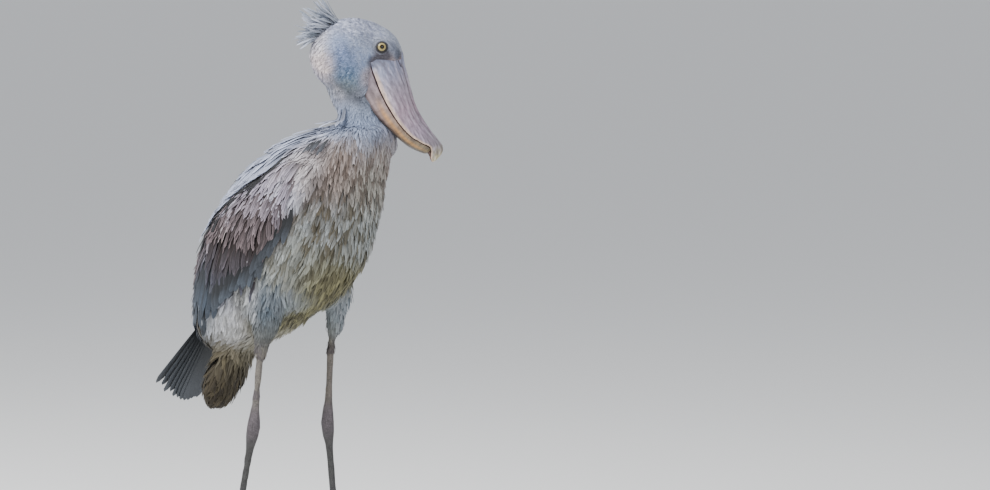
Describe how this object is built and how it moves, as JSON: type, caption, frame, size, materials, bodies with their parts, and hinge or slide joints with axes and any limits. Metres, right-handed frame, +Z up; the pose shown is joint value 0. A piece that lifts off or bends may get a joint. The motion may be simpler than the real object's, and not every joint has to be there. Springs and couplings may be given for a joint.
{
  "type": "shoebill",
  "caption": "Life-size still model of a shoebill that stands with one foot forward, its head turned and its broad hooked bill pointing down.",
  "frame": {"origin": "on the floor under the middle of the whole bird", "axes": "+X the way the body faces, +Y to the bird's left, +Z up"},
  "size_m": [0.531, 0.3208, 1.0255],
  "materials": {
    "plumage_head": "soft, short grey-blue feathers",
    "plumage_grey": "soft blue-grey feathers with dark shafts",
    "plumage_brown": "layered brown-grey feathers with pale edges",
    "plumage_slate": "firm slate flight and tail feathers, faintly glossy",
    "horn": "grey-pink horn with dark blotches, satin",
    "horn_pale": "yellowish horn, satin",
    "bare_skin": "dark grey scaly leg skin, matt",
    "claw": "dark horn, satin",
    "eye": "wet and glossy, a pale yellow iris"
  },
  "bodies": {
    "root": {"head": "plumage_head", "crest": "plumage_slate", "bill_upper": "horn", "bill_lower": "horn_pale", "eye_right": "eye", "eye_left": "eye", "neck": "plumage_grey", "trunk": "plumage_brown", "wing_right": "plumage_brown", "wing_left": "plumage_brown", "flight_feathers_right": "plumage_slate", "flight_feathers_left": "plumage_slate", "undertail": "plumage_brown", "tail": "plumage_slate", "thigh_right": "plumage_grey", "thigh_left": "plumage_grey", "shank_right": "bare_skin", "shank_left": "bare_skin", "foot_bone_right": "bare_skin", "foot_bone_left": "bare_skin", "toe_middle_right": "bare_skin", "toe_middle_left": "bare_skin", "toe_inner_right": "bare_skin", "toe_inner_left": "bare_skin", "toe_outer_right": "bare_skin", "toe_outer_left": "bare_skin", "toe_hind_right": "bare_skin", "toe_hind_left": "bare_skin", "claw_middle_right": "claw", "claw_middle_left": "claw", "claw_inner_right": "claw", "claw_inner_left": "claw", "claw_outer_right": "claw", "claw_outer_left": "claw", "claw_hind_right": "claw", "claw_hind_left": "claw"}
  },
  "joints": []
}
